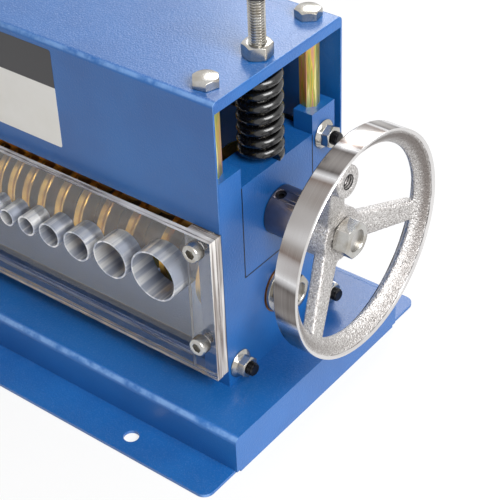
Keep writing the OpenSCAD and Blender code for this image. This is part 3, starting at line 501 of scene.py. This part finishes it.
def clear_sheet():
    """Clear acrylic: polished faces with faint haze and hair scratches, sawn edges that scatter the light."""
    acrylic_ior = 1.49
    f = Finish("clear sheet", {"Transmission Weight": 1.0, "IOR": acrylic_ior, "Specular IOR Level": 0.18,
                               "Base Color": (0.94, 0.95, 0.965, 1)})
    haze = f.noise(38, 4, 0.65)
    hair = f.streaks((60, 60, 2400))
    f.feed(Roughness=0.01 + haze.step(0.45, 0.8) * 0.05 + hair.step(0.68, 0.74) * 0.12)
    saw = f.streaks((14, 480, 14), 3, 0.6)
    edge = f.node("BsdfPrincipled", {}, {
        "Base Color": f.mix(saw.step(0.36, 0.62), tone(132, 120, 112), tone(236, 232, 228)),
        "Roughness": 0.2 + saw * 0.2, "IOR": acrylic_ior})
    end_facing, front_facing, _ = f.facing()
    cut = 1 - abs(front_facing).step(0.2, 0.8)
    return f.overlaid(cut * (0.5 + 0.22 * abs(end_facing)), edge)


def cast_metal(wheel_y, wheel_z, rim_radius):
    """Sand-cast aluminium: grey, lumpy, full of small bright facets, with painted shade in the hollow of the rim
    that is weaker toward the bottom of the wheel.
    """
    f = Finish("cast aluminium", {"Metallic": 1.0})
    sand = f.noise(900, 3, 0.7)
    lump = f.noise(300, 3, 0.6)
    pit = f.node("TexVoronoi", {}, {"Vector": f.place, "Scale": 700})
    _, height, _, radius, _ = f.lathe(wheel_y, wheel_z)
    # painted shade in the hollow of the rim, weaker toward the bottom of the wheel
    inward = rim_radius - radius
    hollow = inward.step(2.2 * MM, 4.5 * MM) * (1 - inward.step(6 * MM, 12 * MM))
    painted_light = 0.3 + 0.5 * height.step(-70 * MM, 0)
    dark, mid, light, dull = tone(134, 129, 126), tone(195, 192, 190), tone(242, 241, 240), tone(104, 95, 90)
    colour = f.mix(sand.step(0.30, 0.55), dark, mid)
    colour = f.mix(sand.step(0.5, 0.72), colour, light)
    f.feed(Base_Color=f.mix(hollow * painted_light, colour, dull), Roughness=0.34 + lump * 0.24)
    return f.bump(sand * 1.2 + lump * 1.2 + pit * 0.5, 0.7, 0.8 * MM)


def polished_rim(wheel_y, wheel_z, rim_front):
    """Turned and buffed aluminium: fine lines round the axis, painted reflections as broad dark and bright bands
    across them, and a painted highlight along the front lip.
    """
    f = Finish("polished rim", {"Metallic": 1.0})
    across, up, along, radius, spot = f.lathe(wheel_y, wheel_z)
    lines = f.noise(2600, 2, 0.6, spot)
    # painted reflections: broad bands that follow the angle round the axis
    heading = f.node("CombineXYZ", {}, {0: across / radius, 1: up / radius, 2: along * 0.8})
    band = f.noise(2.3, 1, 0.5, heading)
    # painted highlight along the front edge of the rim
    lip = along.step(rim_front - 1.7 * MM, rim_front - 1.1 * MM)
    fine = f.noise(420, 3, 0.6)
    dark, brown, mid, light = tone(80, 74, 72), tone(122, 108, 101), tone(156, 151, 148), tone(228, 228, 230)
    colour = f.ramp(band, [(0.28, light), (0.40, mid), (0.47, brown), (0.53, light), (0.58, dark), (0.63, mid),
                           (0.74, light)])
    colour = f.mix(lip, colour, tone(222, 220, 219))
    f.feed(Base_Color=f.mix(lines.step(0.3, 0.75) * 0.3, colour, tone(176, 172, 170)),
           Roughness=0.12 + lines * 0.1 + fine * 0.06)
    return f.bump(lines * 0.4 + fine * 0.5, 0.06, 0.3 * MM)


def satin_alloy(name, colour, shade):
    """Machined and blasted alloy: even fine grain with soft stains."""
    f = Finish(name, {"Metallic": 1.0})
    grain = f.noise(2200, 2)
    stain = f.noise(26, 4, 0.6)
    f.feed(Base_Color=f.mix(stain.step(0.35, 0.75) * 0.6, colour, shade),
           Roughness=0.36 + grain * 0.16 + stain * 0.08)
    return f.bump(grain, 0.12, 0.2 * MM)


def paint(name, colour, pale, rough, grain, strength):
    """Plain paint or moulded plastic: even colour with a fine pebble and a soft drift of tone."""
    f = Finish(name, {"Coat Weight": 0.1, "Coat Roughness": 0.25})
    pebble = f.noise(grain, 2)
    drift = f.noise(30, 3, 0.6)
    f.feed(Base_Color=f.mix(drift.step(0.3, 0.75) * 0.6, colour, pale), Roughness=rough + pebble * 0.14)
    return f.bump(pebble, strength, 0.3 * MM)


def label_film(low_z, high_z):
    """Bare vinyl film: off-white below, a plain dark band above, with faint grain and yellowing."""
    f = Finish("label film", {"Coat Weight": 0.2, "Coat Roughness": 0.2})
    _, _, height = f.parts(f.place)
    split, blur = low_z + 0.62 * (high_z - low_z), 0.2 * MM
    band = height.step(split - blur, split + blur)
    age = f.noise(40, 3, 0.6)
    paper = f.mix(age, tone(226, 224, 220), tone(214, 211, 203))
    ink = f.mix(age, tone(34, 33, 36), tone(44, 42, 44))
    f.feed(Base_Color=f.mix(band, paper, ink), Roughness=0.34 + f.noise(800, 2) * 0.1)
    return f.bump(f.noise(500, 2), 0.06, 0.2 * MM)


shaft_y, lower_z, upper_z = 3.5 * MM, 84.5 * MM, 152.5 * MM
upper_axis, lower_axis = (shaft_y, upper_z), (shaft_y, lower_z)
rim_low, rim_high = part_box("wheel_rim")
rim_x, rim_width, rim_radius = rim_low.x, rim_high.x - rim_low.x, (rim_high.z - rim_low.z) / 2

# The last two numbers of each coat set its painted highlight along the folds and its painted glints on top.
blue = blue_coat("blue powder coat", fold_highlight=0.5, painted_glint=0.08)
cover_blue = blue_coat("blue cover coat", fold_highlight=0.45, painted_glint=0.22)
drive_blue = blue_coat("blue drive coat", fold_highlight=0.0, painted_glint=0.12)
zinc = plated("bright zinc", tone(188, 187, 184), tone(168, 163, 154), rough=0.14)
yellow = rainbow_zinc()
oxide = dark_steel("black oxide", tone(30, 30, 33), tone(58, 57, 58), rough=0.30)
collar_steel = turned_metal("collar steel", tone(128, 122, 128), tone(96, 92, 100), 0.2, 1500, *upper_axis)
lacquer = black_lacquer()
clear = clear_sheet()
tubing = tube_metal()
upper_steel = turned_metal("ground steel upper", tone(112, 100, 92), tone(84, 74, 68), 0.26, 2600, *upper_axis)
lower_steel = turned_metal("ground steel lower", tone(112, 104, 100), tone(84, 78, 76), 0.26, 2600, *lower_axis)
shaft_steel = turned_metal("shaft steel", tone(196, 194, 192), tone(158, 155, 152), 0.22, 2600, *upper_axis)
upper_gold = turned_metal("gold blades", tone(226, 182, 92), tone(196, 142, 62), 0.16, 2200, *upper_axis,
                          strength=0.2)
lower_gold = turned_metal("gold rollers", tone(216, 172, 88), tone(182, 130, 58), 0.2, 2200, *lower_axis,
                          strength=0.2)
upper_bronze = turned_metal("bronze upper", tone(178, 128, 78), tone(140, 96, 56), 0.26, 2000, *upper_axis)
lower_bronze = turned_metal("bronze lower", tone(178, 128, 78), tone(140, 96, 56), 0.26, 2000, *lower_axis)
cast = cast_metal(*upper_axis, rim_radius)
buffed = polished_rim(*upper_axis, rim_high.x)
alloy = satin_alloy("gearbox alloy", tone(176, 178, 180), tone(140, 142, 146))
motor_black = paint("motor paint", tone(30, 31, 34), tone(44, 45, 48), rough=0.36, grain=900, strength=0.2)
plastic = paint("black plastic", tone(24, 24, 26), tone(36, 36, 38), rough=0.42, grain=1600, strength=0.22)
red = paint("red plastic", tone(176, 22, 20), tone(196, 36, 30), rough=0.22, grain=900, strength=0.08)

finish_of = {
    blue: "base right_side_plate left_side_plate top_plate right_bearing_block left_bearing_block",
    cover_blue: "top_cover",
    drive_blue: "gear_cover",
    zinc: "top_bolts flange_nuts guard_screws adjusting_nuts right_adjusting_screw left_adjusting_screw "
          "wheel_nut end_washer end_nut gear_cover_screws foot_bolts",
    yellow: "hex_columns",
    oxide: "tie_rods set_screw gearbox_foot",
    collar_steel: "shaft_collar",
    lacquer: "right_spring left_spring",
    clear: "clear_guard guard_strips",
    tubing: " ".join("feed_tube_%d" % (i + 1) for i in range(11)),
    shaft_steel: "upper_shaft lower_shaft",
    upper_steel: "blade_sleeves upper_gear",
    lower_steel: "roller_sleeves lower_gear shaft_coupling",
    upper_gold: "blade_discs",
    lower_gold: "feed_rollers",
    upper_bronze: "upper_bushes",
    lower_bronze: "lower_bushes",
    cast: "wheel_hub wheel_spokes",
    buffed: "wheel_rim",
    alloy: "gearbox",
    motor_black: "motor_body",
    plastic: "fan_cover switch_box cable_gland",
    red: "rocker stop_button",
}
for finish, names in finish_of.items():
    for name in names.split():
        slots = nodes[name].data.materials
        slots.clear()
        slots.append(finish.material)

# Edges of the solids: loose triangles are joined, then every fold past 35 degrees is rounded by a width in mm
edge_widths = {
    0.6: "base right_side_plate left_side_plate top_plate right_bearing_block left_bearing_block gear_cover",
    0.35: "top_cover hex_columns shaft_collar end_washer shaft_coupling motor_body gearbox_foot",
    1.2: "gearbox switch_box fan_cover rocker cable_gland",
    2.0: "stop_button",
}
for width, names in edge_widths.items():
    for name in names.split():
        weld = nodes[name].modifiers.new("joined", "WELD")
        weld.merge_threshold = 0.01 * MM
        bevel_folds(nodes[name], width * MM, segments=3, angle=35)


# Springs and adjusting screws

spring_radius, spring_wire, spring_curls = 13 * MM, 7 * MM, 7.5
screw_radius, screw_pitch = 6 * MM, 2 * MM
key_flats, key_lead, key_depth, key_point = 6.5 * MM, 0.4 * MM, 7 * MM, 8 * MM
cap_length, cap_bore, cap_foot, cap_top, cap_ease = 9.5 * MM, 5.6 * MM, 6.8 * MM, 6.6 * MM, 0.9 * MM

for side in ("right", "left"):
    name = side + "_spring"
    low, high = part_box(name)
    mid = (low + high) / 2
    wound = coil((mid.x, mid.y, 0), spring_radius, spring_wire, low.z, high.z, spring_curls)
    spring = piece(name + "_coil", [wound], lacquer, "frame", [name])
    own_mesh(spring)

    name = side + "_adjusting_screw"
    low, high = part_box(name)
    mid = (low + high) / 2
    foot = (mid.x, mid.y, low.z)
    length = high.z - low.z
    rows, angle = thread(screw_radius, screw_pitch, 0, length)
    well = hex_radius(angle, key_flats)
    rows = [(0, 0)] + rows + [(length, 1.12 * well), (length - key_lead, well), (length - key_depth, well),
                              (length - key_point, 0)]
    piece(name + "_thread", [rows_round(rows, angle, foot, Z)], zinc, side + "_screw", [name])

    cap_low = length - cap_length
    cap = eased([(cap_low, cap_bore), (cap_low, cap_foot), (length, cap_top), (length, 0)], cap_ease)
    piece(side + "_screw_cap", [turned(cap, foot, Z, columns=64)], plastic, side + "_screw")


# Tie rods, nuts and bolts

plate_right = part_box("right_side_plate")[1].x
plate_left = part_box("left_side_plate")[0].x
cover_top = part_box("top_cover")[1].z
guard_front, guard_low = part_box("clear_guard")[0][1:]
guard_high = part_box("clear_guard")[1].z

rod_low, rod_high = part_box("tie_rods")
rod_length = rod_high.x - rod_low.x
rod_radius, rod_pitch, cut_length = 5 * MM, 1.5 * MM, 34 * MM
rod_spots = [(-47 * MM, 47 * MM), (56.5 * MM, 47 * MM), (56.5 * MM, 186 * MM)]
first, angle = thread(rod_radius, rod_pitch, 0, cut_length)
last, _ = thread(rod_radius, rod_pitch, rod_length - cut_length, rod_length)
rows = [(0, 0)] + first + last + [(rod_length, 0)]
rods = [rows_round(rows, angle, (rod_low.x, y, z), X) for y, z in rod_spots]
piece("threaded_tie_rods", rods, oxide, "frame", ["tie_rods"])

flange_sizes = dict(flange=21.8 * MM, flats=15 * MM, height=9.5 * MM, bore=4.7 * MM)
flange_turns = (0.3, 0.1, 0.5)
nuts = [flange_nut(origin=(x, y, z), axis=axis, turn=turn, **flange_sizes)
        for (y, z), turn in zip(rod_spots, flange_turns)
        for x, axis in ((plate_right, X), (plate_left, -X))]
piece("rod_flange_nuts", nuts, zinc, "frame", ["flange_nuts"], bevel=0.15 * MM)

bolt_sizes = dict(flats=17 * MM, height=6.5 * MM, shank=4.9 * MM, reach=8 * MM)
bolt_inset, bolt_front, bolt_rear = 18 * MM, -45 * MM, 65 * MM
bolt_turns = (0.2, 0.9, 0.7, 0.17)
bolt_spots = [(x, y) for x in (plate_left + bolt_inset, plate_right - bolt_inset)
              for y in (bolt_front, bolt_rear)]
bolts = [hex_head(origin=(x, y, cover_top), axis=Z, turn=turn, **bolt_sizes)
         for (x, y), turn in zip(bolt_spots, bolt_turns)]
piece("cover_bolts", bolts, zinc, "frame", ["top_bolts"], bevel=0.2 * MM)

screw_nut_sizes = dict(flats=19 * MM, height=10 * MM, bore=5.9 * MM, turn=0.14)
screw_inset = 14 * MM
nuts = [hex_nut(origin=(x, shaft_y, cover_top), axis=Z, **screw_nut_sizes)
        for x in (plate_left + screw_inset, plate_right - screw_inset)]
piece("screw_nuts", nuts, zinc, "frame", ["adjusting_nuts"], bevel=0.2 * MM)

cap_screw_sizes = dict(head=14 * MM, height=8 * MM, shank=3.9 * MM, reach=26 * MM, key=6.4 * MM)
cap_screw_inset, cap_screw_heights = 11 * MM, (78 * MM, 159 * MM)
heads = [socket_head(origin=(x, guard_front, z), axis=-Y, **cap_screw_sizes)
         for x in (plate_left + cap_screw_inset, plate_right - cap_screw_inset) for z in cap_screw_heights]
piece("guard_cap_screws", heads, zinc, "frame", ["guard_screws"], bevel=0.12 * MM)

shaft_nut_flats, shaft_nut_bore = 24 * MM, 7.8 * MM
for name, node, z, turn, body in (("shaft_end_nut", "wheel_nut", upper_z, 0.17, "upper_roll"),
                                  ("lower_shaft_nut", "end_nut", lower_z, 0.0, "lower_roll")):
    low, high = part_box(node)
    nut = hex_nut(shaft_nut_flats, high.x - low.x, shaft_nut_bore, (low.x, shaft_y, z), X, turn)
    piece(name, [nut], zinc, body, [node], bevel=0.25 * MM)


# Painted shadow in the gap round the bearing blocks: thin dark bars

gap_shadow_half, gap_shadow_depth, gap_shadow_proud = 0.5 * MM, 0.6 * MM, 0.06 * MM
slot_front, slot_rear, slot_foot = -36.35 * MM, 43.35 * MM, 117.15 * MM
block_edge = 0.6 * MM
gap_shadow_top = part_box("right_bearing_block")[1].z - block_edge


def gap_shadow(x):
    """Three thin dark bars that paint the shadow in the groove between a slot and its block: two up the sides
    and one along the foot.
    """
    end = x + gap_shadow_depth
    sides = [bar((x, y - gap_shadow_half, slot_foot), (end, y + gap_shadow_half, gap_shadow_top))
             for y in (slot_front, slot_rear)]
    return sides + [bar((x, slot_front, slot_foot - gap_shadow_half), (end, slot_rear, slot_foot + gap_shadow_half))]


gap_shadows = gap_shadow(plate_right + gap_shadow_proud - gap_shadow_depth) + gap_shadow(plate_left - gap_shadow_proud)
# dark bars that stand in for the shadow in the gap
piece("block_gap_shadows", gap_shadows, oxide, "frame", crease=20)


# Guard strips and bottom bar, held off the sheet and the plates by a film of air

film_gap = 0.2 * MM
guard_thick, plate_front = 6 * MM, -59.5 * MM
strip_width, bottom_bar_height = 24.5 * MM, 9.5 * MM
strip_front, strip_back = guard_front + guard_thick + film_gap, plate_front - film_gap
strip_low, strip_high = guard_low + film_gap, guard_high - film_gap


def clear_bar(left, right, top):
    """Bar behind the sheet from its lower edge up, a film of air shorter at both ends."""
    return bar((left + film_gap, strip_front, strip_low), (right - film_gap, strip_back, top))


strips = [clear_bar(plate_left, plate_left + strip_width, strip_high),
          clear_bar(plate_right - strip_width, plate_right, strip_high),
          clear_bar(plate_left + strip_width, plate_right - strip_width, guard_low + bottom_bar_height)]
piece("clear_guard_strips", strips, clear, "frame", ["guard_strips"], bevel=0.4 * MM)


# Handwheel

hub_low, hub_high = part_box("wheel_hub")
hub_x, hub_end, hub_radius = hub_low.x, hub_high.x, (hub_high.z - hub_low.z) / 2
rim_thick, rim_columns = 12.5 * MM, 240
wheel_middle = np.array((0, shaft_y, upper_z))
ring_middle = (rim_x, shaft_y, upper_z)


def wheel_point(x, radius, side, angle):
    """Points at x, out from the wheel's axis in a direction and a step to the side of it."""
    x, radius, side = np.broadcast_arrays(x, radius, side)
    out, across = math.cos(angle) * Y + math.sin(angle) * Z, -math.sin(angle) * Y + math.cos(angle) * Z
    return wheel_middle + x[..., None] * X + radius[..., None] * out + side[..., None] * across


# Section of a spoke: shares of its half width, and of its thickness from the front
spoke_outline = np.array([(0, 0), (0.6, 0), (0.98, 0.03), (1, 0.1), (0.9, 0.9), (0.8, 1),
                          (-0.8, 1), (-0.9, 0.9), (-1, 0.1), (-0.98, 0.03), (-0.6, 0)])
spoke_turns = [math.radians(a) for a in (-12, 108, 228)]
spoke_root, spoke_end, spoke_thick = 6 * MM, 72.6 * MM, 10 * MM
spoke_taper = (20 * MM, spoke_end)
spoke_fronts = (hub_end, rim_x + 0.55 * rim_width)
spoke_halves = (10 * MM, 7.5 * MM)


def spoke(angle, steps=34):
    """Flat-fronted bar from the hub into the rim: the front line slopes outward and the width falls."""
    radius = np.linspace(spoke_root, spoke_end, steps)[:, None]
    front = np.interp(radius, spoke_taper, spoke_fronts)
    half = np.interp(radius, spoke_taper, spoke_halves)
    x, side = front - spoke_thick * spoke_outline[:, 1], half * spoke_outline[:, 0]
    return loft(wheel_point(x, radius, side, angle))


def rim_rows(shares):
    """Loop of a ring's section, from shares of the rim's width and of its thickness from the outside in."""
    rows = np.array([(along * rim_width, rim_radius - inward * rim_thick) for along, inward in shares])
    return np.concatenate([rows, rows[:1]])


outer_band = rim_rows([(0.02, 0.20), (0, 0.14), (0, 0.05), (0.02, 0.012), (0.05, 0), (0.95, 0), (0.98, 0.012),
                       (1, 0.05), (0.985, 0.1), (0.92, 0.21), (0.85, 0.2)])
inner_slopes = rim_rows([(0.04, 0.12), (0.13, 0.43), (0.24, 0.7), (0.34, 0.92), (0.47, 1), (0.6, 0.87),
                         (0.7, 0.67), (0.81, 0.43), (0.92, 0.2), (0.9, 0.1)])
band = turned(outer_band, ring_middle, X, rim_columns)
piece("turned_wheel_rim", [band], buffed, "upper_roll", ["wheel_rim"], crease=50)

boss_turn, boss_distance, boss_face = math.radians(105), 59.5 * MM, rim_x + 12.5 * MM
boss_radius, boss_bore, boss_depth, boss_back = 11.5 * MM, 5.2 * MM, 12 * MM, 14 * MM
boss_middle = wheel_point(boss_face, boss_distance, 0.0, boss_turn)
hub_outline = [(0, 0), (0, hub_radius), (hub_end - hub_x, hub_radius), (hub_end - hub_x, 0)]
boss_outline = [(-boss_back, 0), (-boss_back, boss_radius), (0, boss_radius), (0, boss_bore),
                (-boss_depth, boss_bore), (-boss_depth, 0)]
casting = [spoke(a) for a in spoke_turns]
casting.append(turned(hub_outline, (hub_x, shaft_y, upper_z), X))
casting.append(turned(inner_slopes, ring_middle, X, rim_columns))
casting.append(turned(boss_outline, boss_middle, X, columns=64))
wheel = piece("cast_wheel_spider", casting, cast, "upper_roll",
              ["wheel_hub", "wheel_spokes"], crease=180)
remesh = wheel.modifiers.new("one casting", "REMESH")
remesh.mode, remesh.voxel_size, remesh.use_smooth_shade = "VOXEL", 0.85 * MM, True
smooth = wheel.modifiers.new("cast fillets", "SMOOTH")
smooth.factor, smooth.iterations = 0.5, 5

hole_pitch, hole_growth = 1.75 * MM, 0.8 * MM
rows, angle = thread(boss_bore, hole_pitch, -boss_depth, 0)
rows = [(-boss_depth, 0)] + [(along, hole_growth + radius) for along, radius in rows]
piece("handle_hole_thread", [rows_round(rows, angle, boss_middle, X)], oxide, "upper_roll")


# Label place on the cover panel

panel_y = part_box("top_cover")[0].y
label_low, label_high = (2 * MM, 185 * MM), (129 * MM, 262.5 * MM)
label_corner, label_thick = 2 * MM, 0.15 * MM


def film(low, high, y, radius, thick, columns=48):
    """Thin film with round corners: the outline of a rounded rectangle, raised toward -Y, closed in front."""
    low, high = np.array(low), np.array(high)
    half, mid = (high - low) / 2, (high + low) / 2
    heading = np.stack([np.cos(ring(columns)), np.sin(ring(columns))], axis=1)
    outline = np.sign(heading) * (half - radius) + radius * heading
    sizes, rises = np.array([1, 1, 0.998, 0]), thick * np.array([0, 0.6, 1, 1])
    flat = mid + sizes[:, None, None] * outline
    depth = np.broadcast_to(y - rises[:, None], flat.shape[:2])
    return skin(np.stack([flat[..., 0], depth, flat[..., 1]], axis=-1))


vinyl = label_film(label_low[1], label_high[1])
label = film(label_low, label_high, panel_y, label_corner, label_thick)
piece("label_plate", [label], vinyl, "frame", crease=15)


# Stage

white = (1, 1, 1, 1)
floor_half, floor_lines, floor_z, floor_glow = 4, 9, -0.3 * MM, 0.72
floor_finish = Finish("pale floor", {"Roughness": 0.6, "Base Color": (0.86, 0.86, 0.86, 1)})
glow = floor_finish.node("Emission", {}, {"Color": white, "Strength": 1.0})
floor_finish.overlaid(floor_finish.seen() * floor_glow, glow)
span = np.linspace(-floor_half, floor_half, floor_lines)
grid_x, grid_y = np.meshgrid(span, span, indexing="ij")
floor_points = np.stack([grid_x, grid_y, np.full_like(grid_x, floor_z)], axis=-1)
index = np.arange(floor_lines ** 2).reshape(floor_lines, floor_lines)
floor_quads = np.stack([index[:-1, :-1], index[1:, :-1], index[1:, 1:], index[:-1, 1:]], axis=-1)
floor_mesh = bpy.data.meshes.new("floor")
floor_mesh.from_pydata(floor_points.reshape(-1, 3).tolist(), [], floor_quads.reshape(-1, 4).tolist())
floor = bpy.data.objects.new("floor", floor_mesh)
floor_mesh.materials.append(floor_finish.material)
bpy.context.scene.collection.objects.link(floor)

world_light, world_seen = 0.31, 1.0
world = bpy.data.worlds.new("studio")
world.use_nodes = True
bpy.context.scene.world = world
studio = Shading(world.node_tree)
background = world.node_tree.nodes["Background"]
background.inputs["Color"].default_value = white
strength = world_light + studio.seen() * (world_seen - world_light)
world.node_tree.links.new(strength.socket, background.inputs["Strength"])


def softbox(name, place, target, size, power):
    """Square area lamp that looks at a target."""
    lamp = bpy.data.lights.new(name, "AREA")
    lamp.shape, lamp.size, lamp.energy = "SQUARE", size, power
    made = bpy.data.objects.new(name, lamp)
    made.location = place
    made.rotation_euler = (Vector(target) - Vector(place)).to_track_quat("-Z", "Y").to_euler()
    bpy.context.scene.collection.objects.link(made)


softbox("key softbox", place=(1.65, -0.35, 1.3), target=(0.2, 0, 0.15), size=1.2, power=51)
softbox("rear softbox", place=(-0.54, 1.6, 1.45), target=(0.25, 0, 0.1), size=0.95, power=18)

aim = Vector((0.2395, 0.006, 0.1022))
stand = Vector((0.7771, -0.6536, 0.7419))
roll = math.radians(-2.44)
back = (stand - aim).normalized()
right = Vector((0, 0, 1)).cross(back).normalized()
up = back.cross(right)
tilted_right = math.cos(roll) * right + math.sin(roll) * up
tilted_up = back.cross(tilted_right)
lens = bpy.data.cameras.new("photo camera")
lens.lens, lens.sensor_width, lens.sensor_fit = 105.9, 36.0, "HORIZONTAL"
lens.clip_start, lens.clip_end = 0.02, 30.0
camera = bpy.data.objects.new("photo camera", lens)
camera.matrix_world = Matrix.Translation(stand) @ Matrix((tilted_right, tilted_up, back)).transposed().to_4x4()
bpy.context.scene.collection.objects.link(camera)
bpy.context.scene.camera = camera
bpy.context.scene.view_settings.view_transform = "Standard"
